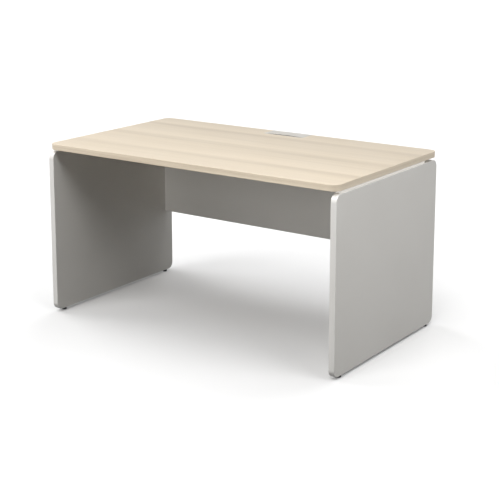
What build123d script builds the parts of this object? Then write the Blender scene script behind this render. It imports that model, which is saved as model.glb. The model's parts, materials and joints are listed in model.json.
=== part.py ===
from build123d import *
import os

# Teacher desk: a wood-decor desktop on two full-height end panels, with a modesty panel
# between them, a flap over a cable port in the desktop's rear edge, and levelling feet.
# Millimetres. The user sits at -Y, +X is the user's right-hand side, +Z is up, and the
# origin is on the floor below the middle of the desktop.

# ---------------------------------------------------------------- driving dimensions

desk_width = 1400
desk_depth = 800
desk_height = 735

desktop_thickness = 25
desktop_corner_radius = 35
band_thickness = 2  # ABS edging round the desktop and the end panels
arris_radius = 1.5  # rounding of the edging's outer arrises

panel_thickness = 25
panel_corner_radius = 30
panel_rear_setback = 8  # the desktop overhangs the end panels at the rear
gap_height = 10  # shadow gap between the end panels and the desktop
foot_height = 10  # floor to the end panels

modesty_thickness = 18
modesty_height = 400
modesty_rear_inset = 40  # desktop's rear edge to the modesty panel's rear face
modesty_band_thickness = 1

fit_gap = 0.05  # radial gap of a piece that sits in a drilled hole

rail_width = 23  # spacer rails between the end panels and the desktop
rail_ends_y = (-368, 285)
rail_edge_chamfer = 0.4
pin_y = (-340, 260)
pin_radius = 4
pin_depth_in_desktop = 15
pin_depth_in_panel = 20
pin_end_chamfer = 0.8

bracket_length = 80
bracket_flange = 38
bracket_drop = 50
bracket_steel = 3
bracket_y = (-150, 220)
bracket_hole_spacing = 50
bracket_hole_from_corner = 20
bracket_hole_drop = 30

tie_length = 60  # the smaller brackets that tie the modesty panel to the desktop
tie_flange = 35
tie_drop = 45
tie_steel = 2.5
tie_x = 350
tie_hole_spacing = 40
tie_hole_from_corner = 18
tie_hole_drop = 30
steel_corner_radius = 5
steel_bend_radius = 2

insert_radius = 5
insert_length = 13
insert_hole_depth = 14
bolt_radius = 3
bolt_length = 14
bolt_head_radius = 5.5
bolt_head_height = 3.3
bolt_key_size = 4
bolt_hole_radius = 3.3
wood_screw_radius = 2
wood_screw_length = 15
wood_screw_head_radius = 4
wood_screw_head_height = 2.4
wood_screw_key_size = 2.5
wood_screw_hole_radius = 2.3
screw_tip_chamfer = 0.25  # share of the screw's radius
screw_head_rounding = 0.5  # share of the head's height
screw_key_depth = 2 / 3  # share of the head's height

cam_inset = 34  # modesty panel's end to the cam's centre
cam_z = (360, 640)
cam_radius = 7.5
cam_pocket_depth = 13.5
cam_cap_radius = 8.6
cam_cap_height = 1.2
cam_cap_rounding = 0.8
cam_cap_plug = 1
cam_slot_length = 9
cam_slot_width = 1.4
cam_slot_depth = 2
cam_bore_radius = 4
cam_bolt_thread_radius = 2.5
cam_bolt_thread_length = 11
cam_bolt_end_space = 1
cam_bolt_collar_radius = 3.7
cam_bolt_collar_length = 2
cam_bolt_shank_radius = 3
cam_bolt_neck_radius = 2
cam_bolt_neck_length = 5
cam_bolt_head_radius = 3.5
cam_bolt_head_length = 3
dowel_radius = 4
dowel_z = (430, 570)
dowel_depth_in_panel = 10
dowel_depth_in_modesty = 20
dowel_end_space = 1
dowel_chamfer = 1

port_width = 200
port_depth = 83
port_wall = 3
port_flange_width = 12
port_flange_thickness = 2
port_ledge_width = 3
port_ledge_height = 3
port_ledge_ends_y = (325, 385)
port_screw_y = (325, 385)
flap_thickness = 3
flap_side_gap = 0.5
flap_front_gap = 1  # at the flap's two ends
flap_recess_depth = 14  # how far the finger recess bows in at mid width
flap_lip_chamfer = 1.8  # thins the flap from below along the finger recess
flap_seat_gap = 0.3
flap_corner_radius = 2
flap_edge_chamfer = 0.4
hinge_inset = 7  # desktop's rear edge to the hinge pin's axis
hinge_pin_radius = 1.25
hinge_barrel_half_length = 78.5
hinge_end_gap = 0.4
hinge_shoulder = 4  # hinge axis to the flap's rear edge beside the barrel

foot_y = 347
foot_pad_radius = 10
foot_pad_height = 6.8
foot_pad_foot_radius = 1.5  # rounding where the pad meets the floor
foot_pad_top_chamfer = 0.8
foot_stud_radius = 4
foot_stud_chamfer = 1
foot_stud_bottom = 3.1
foot_stud_top = 46
foot_socket_bottom = 2.8
foot_hex_size = 13
foot_hex_bottom = 7.1
foot_hex_top = 9.6
sleeve_radius = 6
sleeve_length = 30
stud_space_radius = 5
stud_space_top = 52

# ---------------------------------------------------------------- derived places

half_width = desk_width / 2
half_depth = desk_depth / 2
desktop_bottom = desk_height - desktop_thickness
panel_top = desktop_bottom - gap_height
panel_height = panel_top - foot_height
panel_inner_x = half_width - panel_thickness
panel_mid_x = half_width - panel_thickness / 2
panel_depth = desk_depth - panel_rear_setback
panel_mid_y = -panel_rear_setback / 2
panel_mid_z = foot_height + panel_height / 2
modesty_rear_y = half_depth - modesty_rear_inset
modesty_front_y = modesty_rear_y - modesty_thickness
modesty_mid_y = modesty_rear_y - modesty_thickness / 2
modesty_bottom = panel_top - modesty_height
modesty_mid_z = panel_top - modesty_height / 2
cam_x = panel_inner_x - cam_inset
port_front_y = half_depth - port_depth
port_mid_y = half_depth - port_depth / 2
port_inside_width = port_width - 2 * port_wall
port_inside_front_y = port_front_y + port_wall
port_inside_rear_y = half_depth - port_wall
port_inside_depth = port_depth - 2 * port_wall
flap_bottom = desk_height - flap_thickness
flap_half_width = port_inside_width / 2 - flap_side_gap
hinge_y = half_depth - hinge_inset
knuckle_inner_x = hinge_barrel_half_length + hinge_end_gap

FROM_BASE = (Align.CENTER, Align.CENTER, Align.MIN)
sides = (("left", -1), ("right", 1))
ends = (("front", -1), ("rear", 1))

UP = (0, 0, 1)
DOWN = (0, 0, -1)
REARWARD = (0, 1, 0)
FORWARD = (0, -1, 0)

# Each drilled hole is a plane on the surface it is drilled from, with z_dir pointing
# into the board, so that holes and the pieces in them share one list of planes.


def facing(x, y, z, direction, x_dir=None):
    """Plane at (x, y, z) whose normal is the given direction."""
    return Plane(origin=(x, y, z), x_dir=x_dir, z_dir=direction)


def outward(sign):
    """Direction from the desk's middle towards its left (-1) or right (1) side."""
    return (sign, 0, 0)


desktop_pin_planes = [
    facing(sign * panel_mid_x, y, desktop_bottom, UP)
    for _, sign in sides
    for y in pin_y
]
port_screw_planes = [
    facing(sign * (port_width + port_flange_width) / 2, y, desktop_bottom, UP)
    for _, sign in sides
    for y in port_screw_y
]
modesty_cam_pocket_planes = [
    facing(sign * cam_x, modesty_rear_y, z, FORWARD, x_dir=(1, 0, 0))
    for _, sign in sides
    for z in cam_z
]


def bracket_planes_in_desktop(sign, middle_y):
    """Holes of one bracket in the underside of the desktop."""
    x = sign * (panel_inner_x - bracket_hole_from_corner)
    shift = bracket_hole_spacing / 2
    return [facing(x, y, desktop_bottom, UP) for y in (middle_y - shift, middle_y + shift)]


def bracket_planes_in_panel(sign, middle_y):
    """Holes of one bracket in the inner face of its end panel."""
    z = desktop_bottom - bracket_hole_drop
    shift = bracket_hole_spacing / 2
    return [
        facing(sign * panel_inner_x, y, z, outward(sign)) for y in (middle_y - shift, middle_y + shift)
    ]


def tie_planes_in_desktop(sign):
    """Holes of one tie bracket in the underside of the desktop."""
    y = modesty_front_y - tie_hole_from_corner
    shift = tie_hole_spacing / 2
    return [facing(sign * tie_x + dx, y, desktop_bottom, UP) for dx in (-shift, shift)]


def tie_planes_in_modesty(sign):
    """Holes of one tie bracket in the user's side of the modesty panel."""
    z = desktop_bottom - tie_hole_drop
    shift = tie_hole_spacing / 2
    return [facing(sign * tie_x + dx, modesty_front_y, z, REARWARD) for dx in (-shift, shift)]


def panel_pin_planes(sign):
    """Holes for the rail pins in the top edge of one end panel."""
    return [facing(sign * panel_mid_x, y, panel_top, DOWN) for y in pin_y]


def panel_foot_planes(sign):
    """Holes for the levelling feet in the bottom edge of one end panel."""
    return [facing(sign * panel_mid_x, y, foot_height, UP) for y in (-foot_y, foot_y)]


def panel_joint_planes(sign, heights):
    """Holes in the inner face of one end panel where the modesty panel is joined to it."""
    return [facing(sign * panel_inner_x, modesty_mid_y, z, outward(sign)) for z in heights]


def modesty_joint_planes(sign, heights):
    """The matching holes in the end of the modesty panel."""
    return [facing(sign * panel_inner_x, modesty_mid_y, z, outward(-sign)) for z in heights]


desktop_insert_planes = [
    *[plane for _, sign in sides for y in bracket_y for plane in bracket_planes_in_desktop(sign, y)],
    *[plane for _, sign in sides for plane in tie_planes_in_desktop(sign)],
]


def panel_insert_planes(sign):
    """Holes of both brackets in the inner face of one end panel."""
    return [plane for y in bracket_y for plane in bracket_planes_in_panel(sign, y)]


def set_back(planes, distance):
    """The same planes, moved out of the board by a distance."""
    return [plane.offset(-distance) for plane in planes]


def save(piece, name):
    """Label a finished piece and write it as its own STEP file."""
    piece.part.label = name
    export_step(piece.part, f"parts/{name}.step")


os.makedirs("parts", exist_ok=True)

# ---------------------------------------------------------------- desktop

with BuildPart() as desktop_board:
    with BuildSketch(Plane.XY.offset(desktop_bottom)):
        RectangleRounded(
            desk_width - 2 * band_thickness,
            desk_depth - 2 * band_thickness,
            desktop_corner_radius - band_thickness,
        )
        with Locations((0, port_mid_y)):
            Rectangle(port_width, port_depth, mode=Mode.SUBTRACT)
    extrude(amount=desktop_thickness)
    with Locations(*desktop_pin_planes):
        Cylinder(pin_radius, pin_depth_in_desktop, align=FROM_BASE, mode=Mode.SUBTRACT)
    with Locations(*desktop_insert_planes):
        Cylinder(insert_radius, insert_hole_depth, align=FROM_BASE, mode=Mode.SUBTRACT)
    with Locations(*port_screw_planes):
        Cylinder(wood_screw_radius, wood_screw_length, align=FROM_BASE, mode=Mode.SUBTRACT)
save(desktop_board, "desktop_board")

# Wood-decor edging, bent round the corners and stopped at the cable port.
with BuildPart() as desktop_edge_band:
    with BuildSketch(Plane.XY.offset(desktop_bottom)):
        RectangleRounded(desk_width, desk_depth, desktop_corner_radius)
        RectangleRounded(
            desk_width - 2 * band_thickness,
            desk_depth - 2 * band_thickness,
            desktop_corner_radius - band_thickness,
            mode=Mode.SUBTRACT,
        )
    extrude(amount=desktop_thickness)
    band_faces = desktop_edge_band.faces().sort_by(Axis.Z)
    fillet(
        band_faces[0].outer_wire().edges() + band_faces[-1].outer_wire().edges(),
        radius=arris_radius,
    )
    with BuildSketch(Plane.XY.offset(desktop_bottom)):
        with Locations((0, port_mid_y)):
            Rectangle(port_width, port_depth)
    extrude(amount=desktop_thickness, mode=Mode.SUBTRACT)
save(desktop_edge_band, "desktop_edge_band")

# ---------------------------------------------------------------- end panels

for side, sign in sides:
    inner_plane = Plane.YZ.offset(sign * panel_inner_x)

    with BuildPart() as panel_board:
        with BuildSketch(inner_plane):
            with Locations((panel_mid_y, panel_mid_z)):
                RectangleRounded(
                    panel_depth - 2 * band_thickness,
                    panel_height - 2 * band_thickness,
                    panel_corner_radius - band_thickness,
                )
        extrude(amount=sign * panel_thickness)
        with Locations(*panel_pin_planes(sign)):
            Cylinder(pin_radius, pin_depth_in_panel, align=FROM_BASE, mode=Mode.SUBTRACT)
        with Locations(*panel_foot_planes(sign)):
            Cylinder(sleeve_radius, sleeve_length, align=FROM_BASE, mode=Mode.SUBTRACT)
            Cylinder(
                stud_space_radius,
                stud_space_top - foot_height,
                align=FROM_BASE,
                mode=Mode.SUBTRACT,
            )
        with Locations(*panel_insert_planes(sign)):
            Cylinder(insert_radius, insert_hole_depth, align=FROM_BASE, mode=Mode.SUBTRACT)
        with Locations(*panel_joint_planes(sign, cam_z)):
            Cylinder(
                cam_bolt_thread_radius,
                cam_bolt_thread_length,
                align=FROM_BASE,
                mode=Mode.SUBTRACT,
            )
        with Locations(*panel_joint_planes(sign, dowel_z)):
            Cylinder(
                dowel_radius,
                dowel_depth_in_panel + dowel_end_space,
                align=FROM_BASE,
                mode=Mode.SUBTRACT,
            )
    save(panel_board, f"{side}_panel_board")

    # White edging all the way round, with the holes for the rail pins and the feet.
    with BuildPart() as panel_edge_band:
        with BuildSketch(inner_plane):
            with Locations((panel_mid_y, panel_mid_z)):
                RectangleRounded(panel_depth, panel_height, panel_corner_radius)
                RectangleRounded(
                    panel_depth - 2 * band_thickness,
                    panel_height - 2 * band_thickness,
                    panel_corner_radius - band_thickness,
                    mode=Mode.SUBTRACT,
                )
        extrude(amount=sign * panel_thickness)
        band_faces = panel_edge_band.faces().sort_by(Axis.X)
        fillet(
            band_faces[0].outer_wire().edges() + band_faces[-1].outer_wire().edges(),
            radius=arris_radius,
        )
        with Locations(*panel_pin_planes(sign)):
            Cylinder(pin_radius, band_thickness, align=FROM_BASE, mode=Mode.SUBTRACT)
        with Locations(*panel_foot_planes(sign)):
            Cylinder(
                sleeve_radius + fit_gap,
                band_thickness,
                align=FROM_BASE,
                mode=Mode.SUBTRACT,
            )
    save(panel_edge_band, f"{side}_panel_edge_band")

# ---------------------------------------------------------------- modesty panel

with BuildPart() as modesty_board:
    with BuildSketch(Plane.XZ.offset(-modesty_rear_y)):
        with Locations((0, modesty_mid_z)):
            Rectangle(2 * panel_inner_x, modesty_height - 2 * modesty_band_thickness)
    extrude(amount=modesty_thickness)
    for _, sign in sides:
        with Locations(*modesty_joint_planes(sign, cam_z)):
            Cylinder(cam_bore_radius, cam_inset, align=FROM_BASE, mode=Mode.SUBTRACT)
        with Locations(*modesty_joint_planes(sign, dowel_z)):
            Cylinder(
                dowel_radius,
                dowel_depth_in_modesty + dowel_end_space,
                align=FROM_BASE,
                mode=Mode.SUBTRACT,
            )
    with Locations(*modesty_cam_pocket_planes):
        Cylinder(cam_radius, cam_pocket_depth, align=FROM_BASE, mode=Mode.SUBTRACT)
    for _, sign in sides:
        with Locations(*tie_planes_in_modesty(sign)):
            Cylinder(wood_screw_radius, wood_screw_length, align=FROM_BASE, mode=Mode.SUBTRACT)
save(modesty_board, "modesty_board")

for edge, bottom in (("top", panel_top - modesty_band_thickness), ("bottom", modesty_bottom)):
    with BuildPart() as modesty_edge_band:
        with BuildSketch(Plane.XY.offset(bottom)):
            with Locations((0, modesty_mid_y)):
                Rectangle(2 * panel_inner_x, modesty_thickness)
        extrude(amount=modesty_band_thickness)
    save(modesty_edge_band, f"modesty_{edge}_edge_band")

# ---------------------------------------------------------------- spacer rails

# A flat aluminium bar on each end panel carries the desktop and leaves a gap at the rear.
with BuildPart() as spacer_rails:
    for _, sign in sides:
        with BuildSketch(Plane.XY.offset(panel_top)):
            with Locations((sign * panel_mid_x, sum(rail_ends_y) / 2)):
                Rectangle(rail_width, rail_ends_y[1] - rail_ends_y[0])
        extrude(amount=gap_height)
    chamfer(spacer_rails.edges().filter_by(Axis.Z), rail_edge_chamfer)
    with Locations(*set_back(desktop_pin_planes, gap_height)):
        Cylinder(pin_radius, gap_height, align=FROM_BASE, mode=Mode.SUBTRACT)
save(spacer_rails, "spacer_rails")

with BuildPart() as rail_pins:
    with Locations(*set_back(desktop_pin_planes, gap_height + pin_depth_in_panel - pin_end_chamfer)):
        Cylinder(
            pin_radius - fit_gap,
            pin_depth_in_panel + gap_height + pin_depth_in_desktop - 2 * pin_end_chamfer,
            align=FROM_BASE,
        )
    chamfer(rail_pins.edges().filter_by(GeomType.CIRCLE), pin_end_chamfer)
save(rail_pins, "rail_pins")

# ---------------------------------------------------------------- steel brackets


def angle_bracket(plane, length, flange, drop, steel, hole_planes, hole_radius):
    """Folded steel angle. The plane's origin is its outer corner, the plane's X runs along
    the flange under the desktop and its Y points up."""
    with BuildPart() as bracket:
        with BuildSketch(plane):
            Rectangle(flange, steel, align=(Align.MIN, Align.MAX))
            Rectangle(steel, drop, align=(Align.MIN, Align.MAX))
        extrude(amount=length / 2, both=True)
        fold_lines = bracket.edges().filter_by(Axis(plane.origin, plane.z_dir))
        outer_fold = fold_lines.sort_by_distance(plane.origin)[0]
        inner_fold = fold_lines.sort_by_distance(plane.from_local_coords((steel, -steel)))[0]
        fillet(inner_fold, radius=steel_bend_radius)
        fillet(outer_fold, radius=steel_bend_radius + steel)
        for direction in (plane.x_dir, plane.y_dir):
            across_steel = bracket.edges().filter_by(Axis(plane.origin, direction))
            fillet(across_steel.sort_by(SortBy.LENGTH)[:2], radius=steel_corner_radius)
        with Locations(*set_back(hole_planes, steel)):
            Cylinder(hole_radius, steel, align=FROM_BASE, mode=Mode.SUBTRACT)
    return bracket


for side, sign in sides:
    for (end, _), middle_y in zip(ends, bracket_y):
        corner_plane = Plane(
            origin=(sign * panel_inner_x, middle_y, desktop_bottom),
            x_dir=(-sign, 0, 0),
            z_dir=(0, sign, 0),
        )
        bracket = angle_bracket(
            corner_plane,
            bracket_length,
            bracket_flange,
            bracket_drop,
            bracket_steel,
            bracket_planes_in_desktop(sign, middle_y) + bracket_planes_in_panel(sign, middle_y),
            bolt_hole_radius,
        )
        save(bracket, f"{side}_{end}_bracket")

    # A smaller angle ties the modesty panel to the desktop across the shadow gap.
    corner_plane = Plane(
        origin=(sign * tie_x, modesty_front_y, desktop_bottom),
        x_dir=FORWARD,
        z_dir=(-1, 0, 0),
    )
    tie_bracket = angle_bracket(
        corner_plane,
        tie_length,
        tie_flange,
        tie_drop,
        tie_steel,
        tie_planes_in_desktop(sign) + tie_planes_in_modesty(sign),
        bolt_hole_radius,
    )
    save(tie_bracket, f"{side}_tie_bracket")

# ---------------------------------------------------------------- threaded inserts and screws


def socket_screw(radius, length, head_radius, head_height, key_size):
    """Screw along +Z with the seat of its head on the XY plane and a hexagon socket."""
    with BuildPart() as screw:
        Cylinder(radius, length, align=FROM_BASE)
        chamfer(screw.faces().sort_by(Axis.Z)[-1].edges(), radius * screw_tip_chamfer)
        with BuildSketch():
            Circle(head_radius)
        extrude(amount=-head_height)
        fillet(
            screw.faces().sort_by(Axis.Z)[0].edges(),
            radius=head_height * screw_head_rounding,
        )
        with BuildSketch(Plane.XY.offset(-head_height)):
            RegularPolygon(key_size / 2, 6, major_radius=False)
        extrude(amount=head_height * screw_key_depth, mode=Mode.SUBTRACT)
    return screw


bracket_bolt = socket_screw(
    bolt_radius - fit_gap, bolt_length, bolt_head_radius, bolt_head_height, bolt_key_size
)
wood_screw = socket_screw(
    wood_screw_radius - fit_gap,
    wood_screw_length,
    wood_screw_head_radius,
    wood_screw_head_height,
    wood_screw_key_size,
)

with BuildPart() as threaded_insert:
    Cylinder(insert_radius, insert_length, align=FROM_BASE)
    Cylinder(bolt_radius, insert_length, align=FROM_BASE, mode=Mode.SUBTRACT)

with BuildPart() as desktop_inserts:
    with Locations(*desktop_insert_planes):
        add(threaded_insert.part)
save(desktop_inserts, "desktop_inserts")

with BuildPart() as desktop_bolts:
    for _, sign in sides:
        for y in bracket_y:
            with Locations(*set_back(bracket_planes_in_desktop(sign, y), bracket_steel)):
                add(bracket_bolt.part)
        with Locations(*set_back(tie_planes_in_desktop(sign), tie_steel)):
            add(bracket_bolt.part)
save(desktop_bolts, "desktop_bolts")

for side, sign in sides:
    with BuildPart() as panel_inserts:
        with Locations(*panel_insert_planes(sign)):
            add(threaded_insert.part)
    save(panel_inserts, f"{side}_panel_inserts")

    with BuildPart() as panel_bolts:
        with Locations(*set_back(panel_insert_planes(sign), bracket_steel)):
            add(bracket_bolt.part)
    save(panel_bolts, f"{side}_panel_bolts")

with BuildPart() as tie_screws:
    for _, sign in sides:
        with Locations(*set_back(tie_planes_in_modesty(sign), tie_steel)):
            add(wood_screw.part)
save(tie_screws, "tie_screws")

# ---------------------------------------------------------------- modesty panel's joints

with BuildPart() as cam_bolt:
    Cylinder(
        cam_bolt_thread_radius - fit_gap,
        cam_bolt_thread_length - cam_bolt_end_space,
        align=FROM_BASE,
    )
    with BuildSketch():
        Circle(cam_bolt_collar_radius)
    extrude(amount=-cam_bolt_collar_length)
    with BuildSketch():
        Circle(cam_bolt_shank_radius)
    extrude(amount=cam_bolt_neck_length + cam_bolt_head_length - cam_inset)
    with BuildSketch():
        Circle(cam_bolt_neck_radius)
    extrude(amount=-cam_inset)
    with BuildSketch(Plane.XY.offset(-cam_inset)):
        Circle(cam_bolt_head_radius)
    extrude(amount=cam_bolt_head_length)

with BuildPart() as cam_lock:
    with BuildSketch(Plane.XY.offset(cam_cap_plug)):
        Circle(cam_radius - fit_gap)
    extrude(amount=cam_pocket_depth - cam_cap_plug - fit_gap)
    with BuildSketch(Plane.XY.offset(cam_cap_plug)):
        Rectangle(cam_slot_length, cam_slot_width)
        Rectangle(cam_slot_width, cam_slot_length)
    extrude(amount=cam_slot_depth, mode=Mode.SUBTRACT)
    with BuildSketch(Plane.YZ):
        with Locations((0, modesty_thickness / 2)):
            Circle(cam_bore_radius)
    extrude(amount=cam_radius, both=True, mode=Mode.SUBTRACT)

with BuildPart() as cam_cap:
    Cylinder(cam_radius - fit_gap, cam_cap_plug - fit_gap, align=FROM_BASE)
    with BuildSketch():
        Circle(cam_cap_radius)
    extrude(amount=-cam_cap_height)
    fillet(cam_cap.faces().sort_by(Axis.Z)[0].edges(), radius=cam_cap_rounding)

joint_planes = [plane for _, sign in sides for plane in panel_joint_planes(sign, cam_z)]
with BuildPart() as cam_bolts:
    with Locations(*joint_planes):
        add(cam_bolt.part)
save(cam_bolts, "cam_bolts")

with BuildPart() as cam_locks:
    with Locations(*modesty_cam_pocket_planes):
        add(cam_lock.part)
save(cam_locks, "cam_locks")

with BuildPart() as cam_caps:
    with Locations(*modesty_cam_pocket_planes):
        add(cam_cap.part)
save(cam_caps, "cam_caps")

dowel_planes = [plane for _, sign in sides for plane in panel_joint_planes(sign, dowel_z)]
with BuildPart() as dowels:
    with Locations(*set_back(dowel_planes, dowel_depth_in_modesty)):
        Cylinder(
            dowel_radius - fit_gap,
            dowel_depth_in_modesty + dowel_depth_in_panel,
            align=FROM_BASE,
        )
    chamfer(dowels.edges().filter_by(GeomType.CIRCLE), dowel_chamfer)
save(dowels, "dowels")

# ---------------------------------------------------------------- cable port

# The frame lines the notch on all four sides, hangs from a flange screwed under the
# desktop, and carries the flap's hinge on two knuckles at the rear.
with BuildPart() as port_frame:
    with BuildSketch(Plane.XY.offset(desktop_bottom - port_flange_thickness)):
        with Locations((0, half_depth)):
            Rectangle(
                port_width + 2 * port_flange_width,
                port_depth + port_flange_width,
                align=(Align.CENTER, Align.MAX),
            )
    extrude(amount=port_flange_thickness)
    with BuildSketch(Plane.XY.offset(desktop_bottom)):
        with Locations((0, port_mid_y)):
            Rectangle(port_width, port_depth)
    extrude(amount=desktop_thickness)
    with BuildSketch(Plane.XY.offset(desktop_bottom - port_flange_thickness)):
        with Locations((0, port_mid_y)):
            Rectangle(port_inside_width, port_inside_depth)
    extrude(amount=desktop_thickness + port_flange_thickness, mode=Mode.SUBTRACT)
    for _, sign in sides:
        ledge_x = sign * (port_inside_width - port_ledge_width) / 2
        ledge_top = flap_bottom - flap_seat_gap
        with BuildSketch(Plane.XY.offset(ledge_top - port_ledge_height)):
            with Locations((ledge_x, sum(port_ledge_ends_y) / 2)):
                Rectangle(port_ledge_width, port_ledge_ends_y[1] - port_ledge_ends_y[0])
        extrude(amount=port_ledge_height)
        with BuildSketch(Plane.YZ.offset(sign * knuckle_inner_x)):
            with Locations((hinge_y, flap_bottom)):
                Circle(flap_thickness)
                Rectangle(
                    port_inside_rear_y - hinge_y,
                    2 * flap_thickness,
                    align=(Align.MIN, Align.CENTER),
                )
        extrude(amount=sign * (port_inside_width / 2 - knuckle_inner_x))
        with BuildSketch(Plane.YZ.offset(sign * knuckle_inner_x)):
            with Locations((hinge_y, flap_bottom)):
                Circle(hinge_pin_radius)
        extrude(amount=sign * (port_inside_width / 2 - knuckle_inner_x), mode=Mode.SUBTRACT)
    with Locations(*set_back(port_screw_planes, port_flange_thickness)):
        Cylinder(wood_screw_hole_radius, port_flange_thickness, align=FROM_BASE, mode=Mode.SUBTRACT)
save(port_frame, "port_frame")

with BuildPart() as port_screws:
    with Locations(*set_back(port_screw_planes, port_flange_thickness)):
        add(wood_screw.part)
save(port_screws, "port_screws")

with BuildPart() as hinge_pin:
    with BuildSketch(Plane.YZ.offset(-port_inside_width / 2)):
        with Locations((hinge_y, flap_bottom)):
            Circle(hinge_pin_radius)
    extrude(amount=port_inside_width)
save(hinge_pin, "hinge_pin")

# The flap lies flush with the desktop. Its front edge bows in and is thinned from below,
# which leaves a finger recess where cables also pass while the flap is closed.
flap_front_y = port_inside_front_y + flap_front_gap
flap_rear_y = hinge_y - hinge_shoulder
with BuildPart() as cable_flap:
    with BuildSketch(Plane.XY.offset(flap_bottom)):
        with BuildLine():
            ThreePointArc(
                (-flap_half_width, flap_front_y),
                (0, flap_front_y + flap_recess_depth),
                (flap_half_width, flap_front_y),
            )
            Polyline(
                (flap_half_width, flap_front_y),
                (flap_half_width, flap_rear_y),
                (hinge_barrel_half_length, flap_rear_y),
                (hinge_barrel_half_length, hinge_y),
                (-hinge_barrel_half_length, hinge_y),
                (-hinge_barrel_half_length, flap_rear_y),
                (-flap_half_width, flap_rear_y),
                (-flap_half_width, flap_front_y),
            )
        make_face()
    extrude(amount=flap_thickness)
    front_corners = cable_flap.edges().filter_by(Axis.Z).group_by(Axis.Y)[0]
    fillet(front_corners, radius=flap_corner_radius)
    for face, edge_chamfer in ((-1, flap_edge_chamfer), (0, flap_lip_chamfer)):
        level_edges = cable_flap.faces().sort_by(Axis.Z)[face].edges()
        chamfer(level_edges.filter_by(GeomType.CIRCLE).sort_by(SortBy.LENGTH)[-1], edge_chamfer)
    with BuildSketch(Plane.YZ.offset(-hinge_barrel_half_length)):
        with Locations((hinge_y, flap_bottom)):
            Circle(flap_thickness)
    extrude(amount=2 * hinge_barrel_half_length)
    with BuildSketch(Plane.YZ.offset(-hinge_barrel_half_length)):
        with Locations((hinge_y, flap_bottom)):
            Circle(hinge_pin_radius + fit_gap)
    extrude(amount=2 * hinge_barrel_half_length, mode=Mode.SUBTRACT)
save(cable_flap, "cable_flap")

# ---------------------------------------------------------------- levelling feet

# Each foot is a steel sleeve in the panel, a stud that screws up into it by its hexagon,
# and a pad that stays still on the floor while the stud turns in its socket.
with BuildPart() as foot_sleeves:
    for _, sign in sides:
        for plane in panel_foot_planes(sign):
            with BuildSketch(plane):
                Circle(sleeve_radius)
                Circle(foot_stud_radius + fit_gap, mode=Mode.SUBTRACT)
            extrude(amount=sleeve_length)
save(foot_sleeves, "foot_sleeves")

for side, sign in sides:
    for end, end_sign in ends:
        foot_plane = Plane(origin=(sign * panel_mid_x, end_sign * foot_y, 0))

        with BuildPart() as foot_stud:
            with BuildSketch(foot_plane.offset(foot_stud_bottom)):
                Circle(foot_stud_radius)
            extrude(amount=foot_stud_top - foot_stud_bottom)
            chamfer(foot_stud.faces().sort_by(Axis.Z)[-1].edges(), foot_stud_chamfer)
            with BuildSketch(foot_plane.offset(foot_hex_bottom)):
                RegularPolygon(foot_hex_size / 2, 6, major_radius=False)
            extrude(amount=foot_hex_top - foot_hex_bottom)
        save(foot_stud, f"{side}_{end}_foot_stud")

        with BuildPart() as foot_pad:
            with BuildSketch(foot_plane):
                Circle(foot_pad_radius)
            extrude(amount=foot_pad_height)
            fillet(foot_pad.faces().sort_by(Axis.Z)[0].edges(), radius=foot_pad_foot_radius)
            chamfer(foot_pad.faces().sort_by(Axis.Z)[-1].edges(), foot_pad_top_chamfer)
            with BuildSketch(foot_plane.offset(foot_socket_bottom)):
                Circle(foot_stud_radius + fit_gap)
            extrude(amount=foot_pad_height - foot_socket_bottom, mode=Mode.SUBTRACT)
        save(foot_pad, f"{side}_{end}_foot_pad")
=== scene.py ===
import json
import math

import bmesh
import bpy
from mathutils import Euler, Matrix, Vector


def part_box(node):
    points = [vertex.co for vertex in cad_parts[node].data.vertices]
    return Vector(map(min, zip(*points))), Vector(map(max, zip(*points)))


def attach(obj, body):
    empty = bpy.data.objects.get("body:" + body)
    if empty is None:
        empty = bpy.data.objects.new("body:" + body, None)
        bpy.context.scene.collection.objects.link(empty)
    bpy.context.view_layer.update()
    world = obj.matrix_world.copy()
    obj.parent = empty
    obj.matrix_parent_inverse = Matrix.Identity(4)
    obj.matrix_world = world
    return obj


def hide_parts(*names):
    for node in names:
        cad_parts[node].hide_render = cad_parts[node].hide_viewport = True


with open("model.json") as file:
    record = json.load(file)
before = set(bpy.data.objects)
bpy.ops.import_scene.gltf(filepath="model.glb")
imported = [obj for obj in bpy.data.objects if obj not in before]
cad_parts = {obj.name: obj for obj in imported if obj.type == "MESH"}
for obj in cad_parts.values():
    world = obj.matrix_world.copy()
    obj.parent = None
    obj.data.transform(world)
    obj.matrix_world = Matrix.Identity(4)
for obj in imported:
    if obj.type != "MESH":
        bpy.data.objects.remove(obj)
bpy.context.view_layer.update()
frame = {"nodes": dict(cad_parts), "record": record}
nodes = frame["nodes"]

SIDES = ("left", "right")
ENDS = ("front", "rear")

# ---------------------------------------------------------------- camera

LENS_MM = 88.57
SENSOR_MM = 36
CAMERA_PLACE = (2.8642, -4.0595, 1.6921)
CAMERA_PITCH = 11.209  # degrees below the horizon
CAMERA_TURN = 35.111  # degrees from +Y towards -X
LENS_SHIFT = (0.01424, -0.19276)

camera = bpy.data.objects.new("camera", bpy.data.cameras.new("camera"))
camera.data.sensor_width = SENSOR_MM
camera.data.lens = LENS_MM
camera.data.shift_x, camera.data.shift_y = LENS_SHIFT
camera.location = CAMERA_PLACE
camera.rotation_euler = Euler((math.radians(90 - CAMERA_PITCH), 0, math.radians(CAMERA_TURN)))
bpy.context.scene.collection.objects.link(camera)
bpy.context.scene.camera = camera
bpy.context.scene.view_settings.view_transform = "Standard"


# ---------------------------------------------------------------- material building


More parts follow.
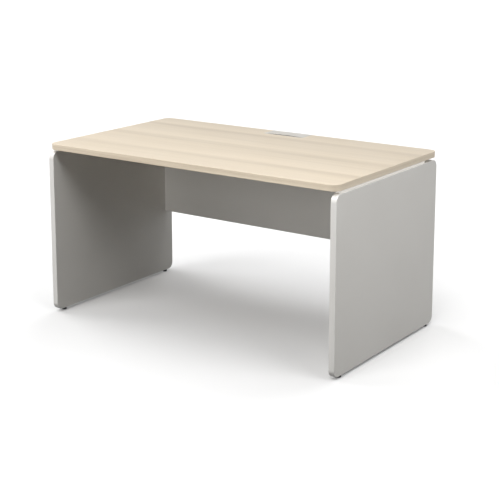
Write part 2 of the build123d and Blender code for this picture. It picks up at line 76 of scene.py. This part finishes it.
class Surface:
    """One node material. Each method adds a node and returns the socket that carries its result.
    Positions are object coordinates, so metres in the desk's own frame."""

    BEVEL_SAMPLES = 4
    CLOUDS = (0.35, 0.65)  # noise below the first is 0 and above the second is 1
    PATCHES = (0.4, 0.6)  # the same with firmer outlines

    def __init__(self, name, **constants):
        self.material = bpy.data.materials.new(name)
        self.material.use_nodes = True
        self.tree = self.material.node_tree
        self.shader = self.tree.nodes["Principled BSDF"]
        for socket, value in constants.items():
            self.shader.inputs[socket.replace("_", " ")].default_value = value
        self.position = self.add("ShaderNodeTexCoord", {}, "Object")
        split = self.add("ShaderNodeSeparateXYZ", {"Vector": self.position}, "X").node
        self.x, self.y, self.z = split.outputs

    def add(self, kind, inputs, output=0, **settings):
        node = self.tree.nodes.new(kind)
        for setting, value in settings.items():
            setattr(node, setting, value)
        for socket, value in inputs.items():
            self.feed(node.inputs[socket], value)
        return node.outputs[output]

    def feed(self, socket, value):
        if isinstance(value, bpy.types.NodeSocket):
            self.tree.links.new(value, socket)
        else:
            socket.default_value = value

    def math(self, operation, first, second=0.0, third=0.0):
        return self.add("ShaderNodeMath", {0: first, 1: second, 2: third}, operation=operation)

    def vector(self, x, y, z=0.0):
        return self.add("ShaderNodeCombineXYZ", {"X": x, "Y": y, "Z": z})

    def noise(self, frequency, detail=2.0, vector=None, seed=0.0):
        """Soft noise from about 0.3 to 0.7, with so many waves a metre along each axis."""
        at = self.add(
            "ShaderNodeVectorMath",
            {0: self.position if vector is None else vector, 1: frequency, 2: (seed, seed, seed)},
            operation="MULTIPLY_ADD",
        )
        return self.add("ShaderNodeTexNoise", {"Vector": at, "Scale": 1.0, "Detail": detail})

    def spread(self, value, low, high, to_low=0.0, to_high=1.0):
        """value from low..high, eased to to_low..to_high and kept within it."""
        inputs = {0: value, 1: low, 2: high, 3: to_low, 4: to_high}
        return self.add("ShaderNodeMapRange", inputs, interpolation_type="SMOOTHSTEP")

    def clouds(self, noise):
        return self.spread(noise, *self.CLOUDS)

    def total(self, *weighted):
        """Sum of value times weight."""
        result = 0.0
        for value, weight in weighted:
            result = self.math("MULTIPLY_ADD", value, weight, result)
        return result

    def mix(self, factor, first, second):
        """From the first colour at 0 to the second at 1. A colour is a socket or its three parts."""
        colours = [
            colour if isinstance(colour, bpy.types.NodeSocket) else (*colour, 1.0)
            for colour in (first, second)
        ]
        inputs = {0: factor, 6: colours[0], 7: colours[1]}
        return self.add("ShaderNodeMix", inputs, output=2, data_type="RGBA")

    def edges(self, width):
        """1 where the surface turns a corner within width of here, 0 on a flat face."""
        rounded = self.add("ShaderNodeBevel", {"Radius": width}, samples=self.BEVEL_SAMPLES)
        here = self.add("ShaderNodeNewGeometry", {}, "Normal")
        cosine = self.add(
            "ShaderNodeVectorMath", {0: rounded, 1: here}, "Value", operation="DOT_PRODUCT"
        )
        return self.spread(cosine, 0.99, 0.85)

    def rubbed_edges(self, width, noise):
        """The edges, where the noise is high: corners don't wear evenly."""
        return self.math("MULTIPLY", self.edges(width), self.spread(noise, *self.PATCHES))

    def finish(self, colour, roughness, height=None):
        """height is in metres, the surface's small relief."""
        self.feed(self.shader.inputs["Base Color"], colour)
        self.feed(self.shader.inputs["Roughness"], roughness)
        if height is not None:
            inputs = {"Height": height, "Distance": 1.0, "Strength": 1.0}
            bump = self.add("ShaderNodeBump", inputs, "Normal")
            self.feed(self.shader.inputs["Normal"], bump)
        return self.material


# ---------------------------------------------------------------- wood decor

EDGING = 0.002  # thickness of the edging round the boards
EDGED_CORNER = 0.035  # corner radius of the edged desktop, in plan
MAPLE_PALE = (0.85, 0.735, 0.575)
MAPLE_MID = (0.78, 0.67, 0.52)
MAPLE_DARK = (0.665, 0.56, 0.425)
MAPLE_PORE = (0.50, 0.41, 0.30)
GLUE_LINE = (0.40, 0.33, 0.25)
FIGURE_REPEAT = 0.25  # the decor repeats this often across the desktop
FIGURE_START = 0.281  # where one repeat begins, from the middle of the desktop
FIGURE_DRIFT = 0.016  # how far its lines wander
# Darkness of the figure through one repeat, from its rear line forwards.
FIGURE = (
    (0.0, 0.55),
    (0.05, 0.9),
    (0.12, 1.0),
    (0.26, 0.6),
    (0.52, 0.5),
    (0.72, 0.2),
    (0.93, 0.0),
    (1.0, 0.5),
)


def maple_grain(surface, along, across, seed):
    """Printed grain, drawn out along the board: its tone from 0 (pale) to 1 (dark), and its pores."""
    plain = surface.vector(along, across)
    sway = surface.noise((0.9, 6, 0), vector=plain, seed=seed)
    swayed = surface.math("MULTIPLY_ADD", sway, 0.012, across)
    at = surface.vector(along, swayed)
    broad = surface.noise((0.7, 26, 0), 2.0, at, seed + 3)
    streaks = surface.noise((1.8, 95, 0), 3.0, at, seed + 7)
    fibres = surface.noise((7, 620, 0), 4.0, at, seed + 11)
    tone = surface.total((broad, 0.40), (streaks, 0.38), (fibres, 0.22))
    pores = surface.noise((55, 2400, 0), 1.0, at, seed + 17)
    return surface.spread(tone, 0.36, 0.64), surface.spread(pores, 0.60, 0.72)


def maple_colour(surface, tone, pores, hue):
    """tone runs from pale to dark through the middle colour, which hue brings out in places."""
    pale_to_mid = surface.mix(surface.spread(tone, 0.0, 0.55), MAPLE_PALE, MAPLE_MID)
    colour = surface.mix(surface.spread(tone, 0.45, 1.0), pale_to_mid, MAPLE_DARK)
    warm = surface.mix(surface.spread(hue, 0.40, 0.65, 0.0, 0.35), colour, MAPLE_MID)
    return surface.mix(surface.math("MULTIPLY", pores, 0.22), warm, MAPLE_PORE)


def outline_distance(surface, first, second, half_first, half_second, radius):
    """Distance outwards from a rounded rectangle's outline, negative inside."""
    reach = []
    for value, half in ((first, half_first), (second, half_second)):
        beyond = surface.math("SUBTRACT", surface.math("ABSOLUTE", value), half - radius)
        reach.append(surface.math("MAXIMUM", beyond, 0.0))
    squares = surface.math("MULTIPLY_ADD", reach[0], reach[0], surface.math("POWER", reach[1], 2.0))
    return surface.math("SUBTRACT", surface.math("SQRT", squares), radius)


def set_ramp(ramp, stops):
    """Grey stops given as (position, value)."""
    for spare in list(ramp.elements)[1:]:
        ramp.elements.remove(spare)
    for index, (position, value) in enumerate(stops):
        stop = ramp.elements[0] if index == 0 else ramp.elements.new(position)
        stop.position = position
        stop.color = (value, value, value, 1.0)


def wood_decor():
    """The desktop: grain along it, the decor's figure across it, and a glue line inside its edging."""
    surface = Surface("wood_decor", Specular_IOR_Level=0.4)
    tone, pores = maple_grain(surface, surface.x, surface.y, 0.0)
    drift = surface.noise((0.6, 1.5, 0), seed=5.0)
    place = surface.math("MULTIPLY_ADD", drift, FIGURE_DRIFT, FIGURE_START - FIGURE_DRIFT / 2)
    depth = surface.math("SUBTRACT", place, surface.y)
    phase = surface.math("FRACT", surface.math("DIVIDE", depth, FIGURE_REPEAT))
    figure = surface.add("ShaderNodeValToRGB", {"Fac": phase})
    set_ramp(figure.node.color_ramp, FIGURE)
    dark = surface.total((figure, 0.62), (tone, 0.38))
    hue = surface.noise((1.3, 4, 0), 2.0, seed=23.0)
    colour = maple_colour(surface, dark, pores, hue)
    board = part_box("desktop_board")[1]
    edge = outline_distance(surface, surface.x, surface.y, board.x, board.y, EDGED_CORNER - EDGING)
    glue = surface.spread(edge, -0.00018, -0.00006, 0.0, 0.55)
    colour = surface.mix(glue, colour, GLUE_LINE)
    handled = surface.noise((5, 7, 5), 3.0, seed=31.0)
    roughness = surface.total((handled, 0.16), (pores, 0.12))
    roughness = surface.math("ADD", roughness, 0.36)
    relief = surface.total((pores, -0.00003), (tone, 0.00001))
    return surface.finish(colour, roughness, relief)


def wood_edging():
    """The same print on the edging, where the grain follows the board's edge round its corners."""
    surface = Surface("wood_edging", Specular_IOR_Level=0.45)
    along = surface.math("ADD", surface.x, surface.y)
    tone, pores = maple_grain(surface, along, surface.z, 40.0)
    hue = surface.noise((1.3, 4, 8), 2.0, seed=29.0)
    colour = maple_colour(surface, surface.math("MULTIPLY", tone, 0.9), pores, hue)
    # Lighter on the arrises: partly wear, partly a painted highlight along the rounded arris.
    wear_and_highlight = surface.rubbed_edges(0.0008, surface.noise((60, 60, 60)))
    colour = surface.mix(surface.math("MULTIPLY", wear_and_highlight, 0.35), colour, MAPLE_PALE)
    roughness = surface.math("MULTIPLY_ADD", surface.noise((30, 30, 90), 3.0), 0.22, 0.32)
    relief = surface.total((pores, -0.00002), (tone, 0.000008))
    return surface.finish(colour, roughness, relief)


# ---------------------------------------------------------------- white boards and edging

BOARD_WHITE = (0.815, 0.795, 0.755)
BOARD_SHADE = (0.78, 0.76, 0.72)
EDGING_WHITE = (0.88, 0.86, 0.825)
# Colour of the edging's arrises: partly wear, partly a painted highlight.
EDGING_WEAR_AND_HIGHLIGHT = (0.90, 0.89, 0.87)


def white_board():
    """Melamine with a fine pearl texture and a slight cloudiness."""
    surface = Surface("white_board", Specular_IOR_Level=0.42)
    clouds = surface.noise((3, 3, 3), 3.0, seed=2.0)
    pearl = surface.noise((900, 900, 900), 2.0, seed=4.0)
    shade = surface.total((surface.clouds(clouds), 0.5), (surface.clouds(pearl), 0.4))
    colour = surface.mix(shade, BOARD_WHITE, BOARD_SHADE)
    handled = surface.noise((6, 6, 6), 4.0, seed=9.0)
    roughness = surface.total((handled, 0.20), (pearl, 0.10))
    roughness = surface.math("ADD", roughness, 0.30)
    return surface.finish(colour, roughness, surface.math("MULTIPLY", pearl, 0.00003))


def white_edging():
    """Extruded ABS: fine lines along the strip, polished a little on its arrises and lighter there,
    partly from wear and partly as a painted highlight.
    """
    surface = Surface("white_edging", Specular_IOR_Level=0.5)
    lines = surface.noise((2500, 4, 4), 2.0, seed=6.0)
    specks = surface.noise((700, 700, 700), 2.0, seed=8.0)
    clouds = surface.noise((5, 5, 5), 2.0, seed=12.0)
    flecks = surface.spread(specks, *surface.PATCHES)
    shade = surface.total((surface.clouds(clouds), 0.35), (flecks, 0.25))
    colour = surface.mix(shade, EDGING_WHITE, BOARD_WHITE)
    # Lighter on the arrises: partly wear, partly a painted highlight.
    wear_and_highlight = surface.rubbed_edges(0.0008, surface.noise((50, 50, 50)))
    colour = surface.mix(surface.math("MULTIPLY", wear_and_highlight, 0.6), colour, EDGING_WEAR_AND_HIGHLIGHT)
    roughness = surface.total((specks, 0.16), (lines, 0.10), (wear_and_highlight, -0.08))
    roughness = surface.math("ADD", roughness, 0.26)
    return surface.finish(colour, roughness, surface.total((specks, 0.00001), (lines, 0.000008)))


# ---------------------------------------------------------------- plastics


def moulded(name, colour, worn_colour, roughness, grain):
    """Moulded plastic with an eroded texture, grain metres wide, paler and smoother where it rubs."""
    surface = Surface(name, Specular_IOR_Level=0.5)
    texture = surface.noise((1 / grain, 1 / grain, 1 / grain), 3.0)
    clouds = surface.noise((40, 40, 40), 3.0, seed=3.0)
    rubbed = surface.rubbed_edges(0.0006, clouds)
    lighter = surface.total((rubbed, 0.6), (surface.spread(clouds, 0.4, 0.8), 0.15), (texture, 0.1))
    shine = surface.total((texture, 0.25), (rubbed, -0.12), (clouds, 0.15))
    return surface.finish(
        surface.mix(lighter, colour, worn_colour),
        surface.math("ADD", shine, roughness - 0.2),
        surface.math("MULTIPLY", texture, grain / 6),
    )


# ---------------------------------------------------------------- metals and beech

COAT_GREY = (0.66, 0.66, 0.65)
COAT_SHADE = (0.56, 0.56, 0.56)
ALUMINIUM_PALE = (0.64, 0.615, 0.57)
ALUMINIUM_DARK = (0.51, 0.49, 0.45)
# Painted shade: black that stands in for the shadow inside the cable port and under the flap's lip.
PAINTED_SHADE_BLACK = (0.012, 0.012, 0.013)
PAINTED_SHADE_ROUGHNESS = 0.6
PAINTED_SHADE_FADE = 0.0003  # width of the painted shade's edge
BEECH_PALE = (0.74, 0.56, 0.37)
BEECH_DARK = (0.60, 0.42, 0.26)
BEECH_FLECK = (0.42, 0.27, 0.15)


def plated(name, colour, tint, roughness):
    """Bare or plated metal: a faint tint that drifts, a fine finish, shinier on the corners."""
    surface = Surface(name, Metallic=1.0)
    drift = surface.noise((120, 120, 120), 3.0)
    fine = surface.noise((1500, 1500, 1500), 3.0, seed=2.0)
    rubbed = surface.rubbed_edges(0.0004, drift)
    stained = surface.total((surface.clouds(drift), 0.6), (fine, 0.3))
    shine = surface.total((fine, 0.25), (drift, 0.15), (rubbed, -0.1))
    return surface.finish(
        surface.mix(stained, colour, tint),
        surface.math("ADD", shine, roughness - 0.2),
        surface.math("MULTIPLY", fine, 0.00001),
    )


def powder_coat():
    """Light grey powder coat with its orange-peel texture, thinner on the folds."""
    surface = Surface("coated_steel", Specular_IOR_Level=0.5)
    peel = surface.noise((650, 650, 650), 2.0)
    clouds = surface.noise((25, 25, 25), 3.0, seed=5.0)
    thin = surface.rubbed_edges(0.0008, clouds)
    shade = surface.total((surface.clouds(clouds), 0.4), (peel, 0.3), (thin, 0.6))
    return surface.finish(
        surface.mix(shade, COAT_GREY, COAT_SHADE),
        surface.math("MULTIPLY_ADD", peel, 0.3, 0.25),
        surface.math("MULTIPLY", peel, 0.00008),
    )


def brushed_aluminium(name, painted_shade_below=None, painted_shade_to=None):
    """Satin anodised aluminium, brushed along the desk, with lighter corners.
    Below the height painted_shade_below, as far back as painted_shade_to, its colour is matt black:
    painted shade standing in for the shadow inside the cable port."""
    surface = Surface(name, Metallic=1.0)
    brushing = surface.noise((14, 3200, 3200), 3.0)
    broad = surface.noise((3, 260, 260), 3.0, seed=4.0)
    clouds = surface.noise((25, 25, 25), 2.0, seed=6.0)
    rubbed = surface.edges(0.0005)
    shade = surface.total((brushing, 0.5), (broad, 0.35), (rubbed, -0.3))
    shine = surface.total((brushing, 0.20), (clouds, 0.18), (rubbed, -0.06))
    colour = surface.mix(shade, ALUMINIUM_PALE, ALUMINIUM_DARK)
    roughness = surface.math("ADD", shine, 0.22)
    # Below and in front of the given limits the colour is painted shade, matt black, for the shadow in
    # the port.
    if painted_shade_below is not None:
        above = surface.spread(surface.z, painted_shade_below - PAINTED_SHADE_FADE, painted_shade_below)
        behind = surface.spread(surface.y, painted_shade_to - PAINTED_SHADE_FADE, painted_shade_to)
        unshaded_metal = surface.math("MAXIMUM", above, behind)
        colour = surface.mix(unshaded_metal, PAINTED_SHADE_BLACK, colour)
        matt = surface.math("MULTIPLY_ADD", unshaded_metal, -PAINTED_SHADE_ROUGHNESS, PAINTED_SHADE_ROUGHNESS)
        roughness = surface.math("MAXIMUM", roughness, matt)
        surface.feed(surface.shader.inputs["Metallic"], unshaded_metal)
    return surface.finish(colour, roughness, surface.math("MULTIPLY", brushing, 0.000008))


def turned_beech():
    """Raw beech: grain along the dowels, with its short dark flecks."""
    surface = Surface("beech")
    grain = surface.noise((60, 900, 900), 4.0)
    flecks = surface.spread(surface.noise((400, 2500, 2500), 2.0, seed=3.0), 0.58, 0.7)
    colour = surface.mix(surface.clouds(grain), BEECH_PALE, BEECH_DARK)
    colour = surface.mix(surface.math("MULTIPLY", flecks, 0.4), colour, BEECH_FLECK)
    roughness = surface.math("MULTIPLY_ADD", grain, 0.3, 0.5)
    return surface.finish(colour, roughness, surface.math("MULTIPLY", grain, 0.00004))


# ---------------------------------------------------------------- materials by slot

materials = {
    "wood_decor": wood_decor(),
    "wood_edging": wood_edging(),
    "white_board": white_board(),
    "white_edging": white_edging(),
    "black_plastic": moulded("black_plastic", (0.018, 0.018, 0.019), (0.07, 0.07, 0.07), 0.45, 0.0006),
    "white_plastic": moulded("white_plastic", (0.80, 0.78, 0.75), (0.86, 0.85, 0.83), 0.42, 0.0005),
    "zinc_steel": plated("zinc_steel", (0.66, 0.67, 0.69), (0.60, 0.59, 0.54), 0.32),
    "black_steel": plated("black_steel", (0.060, 0.060, 0.065), (0.11, 0.105, 0.10), 0.42),
    "coated_steel": powder_coat(),
    "brass": plated("brass", (0.80, 0.62, 0.32), (0.66, 0.48, 0.24), 0.34),
    "silver_aluminium": brushed_aluminium("silver_aluminium"),
    "beech": turned_beech(),
}
for row in frame["record"]["subparts"]:
    mesh = nodes[row["node"]].data
    mesh.materials.clear()
    mesh.materials.append(materials[row["material_slot"]])

# The cable port's frame and flap are bare metal on top. Inside the port and under the flap's lip their
# colour is matt black, painted shade standing in for the shadow there.
PORT_RIM = 0.0005  # height left unshaded at the top, above the painted shade
HINGE_STRIP = 0.012  # depth left free of the painted shade at the rear, round the hinge
port_rear, port_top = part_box("port_frame")[1].yz
for name in ("port_frame", "cable_flap"):
    nodes[name].data.materials[0] = brushed_aluminium(
        f"{name}_metal", port_top - PORT_RIM, port_rear - HINGE_STRIP
    )


# ---------------------------------------------------------------- threaded studs of the feet

STUD_RADIUS = 0.004
THREAD_ROOT_RADIUS = 0.0032
THREAD_PITCH = 0.00125
THREAD_PROFILE = (0.0, 0.0, 0.5, 1.0, 1.0, 0.5)  # root to crest, through one pitch
THREAD_STEPS = 48
THREAD_TOP_CHAMFER = 0.001
COLLAR_BOTTOM = 0.0071  # above the floor, as is its top
COLLAR_TOP = 0.0096
COLLAR_HALF_FLATS = 0.0065
COLLAR_FACE_RADIUS = 0.0062  # of the circle that the chamfer leaves on each face
COLLAR_CHAMFER_SLOPE = 1.73  # a 30 degree chamfer
COLLAR_RINGS = (0.0, 0.0003, 0.0006, 0.0009)  # depths below the collar's two faces


def around(step):
    """Angle of one step round the stud."""
    return math.tau * step / THREAD_STEPS


def ring(mesh, axis_x, axis_y, height, radius_at):
    """Level ring of vertices round the axis, radius_at(angle) from it."""
    return [
        mesh.verts.new((
            axis_x + radius_at(around(step)) * math.cos(around(step)),
            axis_y + radius_at(around(step)) * math.sin(around(step)),
            height,
        ))
        for step in range(THREAD_STEPS)
    ]


def collar_radius(depth):
    """Outline of the hexagon, cut round by the chamfer at this depth below its face."""
    cone = COLLAR_FACE_RADIUS + COLLAR_CHAMFER_SLOPE * depth

    def radius_at(angle):
        from_flat = angle % math.radians(60) - math.radians(30)
        return min(cone, COLLAR_HALF_FLATS / math.cos(from_flat))

    return radius_at


def threaded_stud(name, cad_node):
    """The stud with its rolled thread and its chamfered hexagon collar, where the CAD stud is."""
    low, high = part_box(cad_node)
    axis_x, axis_y = (low.x + high.x) / 2, (low.y + high.y) / 2
    mesh = bmesh.new()

    # The plain shank and the collar.
    rings = [ring(mesh, axis_x, axis_y, low.z, lambda angle: STUD_RADIUS)]
    rings.append(ring(mesh, axis_x, axis_y, COLLAR_BOTTOM, lambda angle: STUD_RADIUS))
    for depth in COLLAR_RINGS:
        rings.append(ring(mesh, axis_x, axis_y, COLLAR_BOTTOM + depth, collar_radius(depth)))
    for depth in reversed(COLLAR_RINGS):
        rings.append(ring(mesh, axis_x, axis_y, COLLAR_TOP - depth, collar_radius(depth)))
    for lower, upper in zip(rings, rings[1:]):
        for step in range(THREAD_STEPS):
            after = (step + 1) % THREAD_STEPS
            mesh.faces.new((lower[step], lower[after], upper[after], upper[step]))
    mesh.faces.new(reversed(rings[0]))
    mesh.faces.new(rings[-1])

    # The thread: each row climbs one pitch a turn, and meets the row one pitch above it.
    rows_a_pitch = len(THREAD_PROFILE)
    start = COLLAR_TOP - 2 * THREAD_PITCH
    row_count = math.ceil((high.z - start) / THREAD_PITCH) * rows_a_pitch
    thread = []
    for row in range(row_count):
        crest = THREAD_PROFILE[row % rows_a_pitch]
        turned = THREAD_ROOT_RADIUS + crest * (STUD_RADIUS - THREAD_ROOT_RADIUS)
        verts = []
        for step in range(THREAD_STEPS):
            climbed = THREAD_PITCH * (row / rows_a_pitch + step / THREAD_STEPS)
            height = min(start + climbed, high.z)
            radius = min(turned, STUD_RADIUS - THREAD_TOP_CHAMFER + high.z - height)
            verts.append(mesh.verts.new((
                axis_x + radius * math.cos(around(step)),
                axis_y + radius * math.sin(around(step)),
                height,
            )))
        thread.append(verts)
    for row in range(row_count - 1):
        for step in range(THREAD_STEPS - 1):
            mesh.faces.new((
                thread[row][step],
                thread[row][step + 1],
                thread[row + 1][step + 1],
                thread[row + 1][step],
            ))
        if row + rows_a_pitch + 1 < row_count:
            mesh.faces.new((
                thread[row][-1],
                thread[row + rows_a_pitch][0],
                thread[row + rows_a_pitch + 1][0],
                thread[row + 1][-1],
            ))
    tip = mesh.verts.new((axis_x, axis_y, high.z))
    for step in range(THREAD_STEPS):
        mesh.faces.new((thread[-1][step - 1], thread[-1][step], tip))
    bmesh.ops.remove_doubles(mesh, verts=mesh.verts, dist=0.000001)

    data = bpy.data.meshes.new(name)
    mesh.to_mesh(data)
    mesh.free()
    data.materials.append(materials["black_steel"])
    stud = bpy.data.objects.new(name, data)
    bpy.context.scene.collection.objects.link(stud)
    return stud


for side in SIDES:
    for end in ENDS:
        stud = threaded_stud(f"{side}_{end}_threaded_stud", f"{side}_{end}_foot_stud")
        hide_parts(f"{side}_{end}_foot_stud")
        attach(stud, f"{side}_{end}_stud")

# ---------------------------------------------------------------- studio

FLOOR_SIZE = 60
FLOOR_WHITE = (0.91, 0.91, 0.91)
FLOOR_SHADE = (0.89, 0.89, 0.89)
FLOOR_ROUGHNESS = 0.9
SOFTBOXES = {  # place, the point it faces, side, watts
    "high_front_left": ((-1.8, -2.0, 3.8), (0, 0, 0.4), 1.6, 133),
    "front": ((0.4, -4.6, 1.3), (0, 0, 0.5), 2.0, 43),
    "front_left": ((-2.8, -3.6, 1.6), (0, 0, 0.5), 2.0, 20),
    "right": ((4.2, 0.2, 1.8), (0, 0, 0.5), 2.4, 66),
    "near_right": ((1.3, -1.3, 2.2), (0.7, -0.4, 0.5), 0.8, 18),
    "rear_fill": ((0.6, 4.6, 1.6), (0, 0, 0.4), 2.4, 50),
    "under_fill": ((0, -0.6, -2.4), (0, 0, 0.4), 3.0, 5),
}
FILLS = ("rear_fill", "under_fill")  # these only lighten shadows and leave no reflection
FLOOR_LIGHTS = {  # direction towards the light, brightness of a white floor that faces it
    "floor_front": ((0, -1, 1), 0.60),
    "floor_rear": ((0, 1, 1), 0.30),
    "floor_left": ((-1, 0, 0.7), 0.45),
    "floor_right": ((1, 0, 0.7), 0.40),
    "floor_top": ((0, 0, 1), 0.18),
}
FLOOR_LIGHT_SPREAD = 50  # degrees across each floor light's soft disc


def add_light(name, kind, direction):
    """Light of this kind, sending its light along direction."""
    light = bpy.data.objects.new(name, bpy.data.lights.new(name, kind))
    light.rotation_euler = direction.to_track_quat("-Z", "Y").to_euler()
    bpy.context.scene.collection.objects.link(light)
    return light


# The floor is lit white all over by lights of its own, which leave the desk's shadow on it.
# It throws no light and no shadow on the desk, and from below it can't be seen.
floor_mesh = bmesh.new()
bmesh.ops.create_grid(floor_mesh, x_segments=1, y_segments=1, size=FLOOR_SIZE / 2)
floor_data = bpy.data.meshes.new("floor")
floor_mesh.to_mesh(floor_data)
floor_mesh.free()
floor = bpy.data.objects.new("floor", floor_data)
floor.visible_diffuse = False
floor.visible_shadow = False
bpy.context.scene.collection.objects.link(floor)
floor_surface = Surface("floor_white", Specular_IOR_Level=0.0)
from_below = floor_surface.add("ShaderNodeNewGeometry", {}, "Backfacing")
from_above = floor_surface.math("SUBTRACT", 1.0, from_below)
floor_surface.feed(floor_surface.shader.inputs["Alpha"], from_above)
floor_colour = floor_surface.mix(floor_surface.noise((2, 2, 2)), FLOOR_WHITE, FLOOR_SHADE)
floor_data.materials.append(floor_surface.finish(floor_colour, FLOOR_ROUGHNESS))

floor_alone = bpy.data.collections.new("floor_alone")
floor_alone.objects.link(floor)
all_but_floor = bpy.data.collections.new("all_but_floor")
all_but_floor.objects.link(floor)
all_but_floor.collection_objects[0].light_linking.link_state = "EXCLUDE"

for name, (place, target, side, watts) in SOFTBOXES.items():
    softbox = add_light(name, "AREA", Vector(target) - Vector(place))
    softbox.location = place
    softbox.data.shape = "SQUARE"
    softbox.data.size = side
    softbox.data.energy = watts
    softbox.light_linking.receiver_collection = all_but_floor
    softbox.visible_glossy = name not in FILLS

for name, (towards, brightness) in FLOOR_LIGHTS.items():
    soft_sun = add_light(name, "SUN", -Vector(towards))
    soft_sun.data.angle = math.radians(FLOOR_LIGHT_SPREAD)
    soft_sun.data.energy = brightness * math.pi
    soft_sun.light_linking.receiver_collection = floor_alone

# A white room: it shows behind the desk and in reflections, and lights nothing.
world = bpy.data.worlds.new("studio")
bpy.context.scene.world = world
world.use_nodes = True
world.node_tree.nodes["Background"].inputs["Color"].default_value = (1.0, 1.0, 1.0, 1.0)
world.cycles_visibility.diffuse = False
